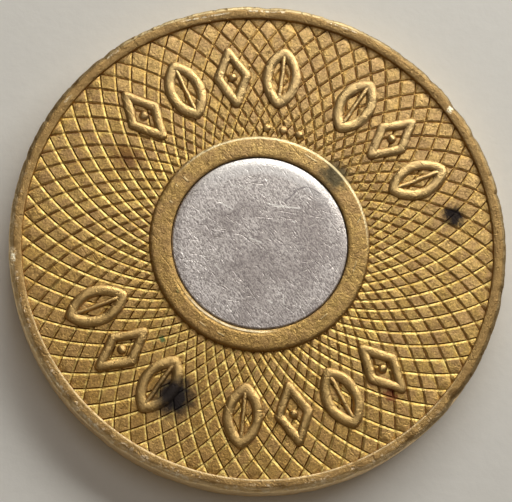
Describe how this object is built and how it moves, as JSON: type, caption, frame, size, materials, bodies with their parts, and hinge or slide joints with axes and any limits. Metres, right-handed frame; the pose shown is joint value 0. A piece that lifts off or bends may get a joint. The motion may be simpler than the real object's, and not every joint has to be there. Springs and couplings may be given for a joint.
{
  "type": "transit token",
  "caption": "Round two-metal fare token: a crosshatched brass ring with raised rim, collar and leaf ornament, struck around a plain steel centre plug.",
  "frame": {"origin": "on the token's axis, in the plane of the reverse rim that it rests on", "axes": "+Z along the token's axis, out of the obverse face; +Y towards the top of the obverse; +X to its right"},
  "size_m": [0.0222, 0.0222, 0.002],
  "materials": {
    "brass": "struck, worn and lightly toned, bright on the high edges and brown in the grooves",
    "steel": "worn smooth, matt grey with fine crossing scratches and small pits"
  },
  "bodies": {
    "root": {"brass_ring": "brass", "steel_plug": "steel"}
  },
  "joints": []
}
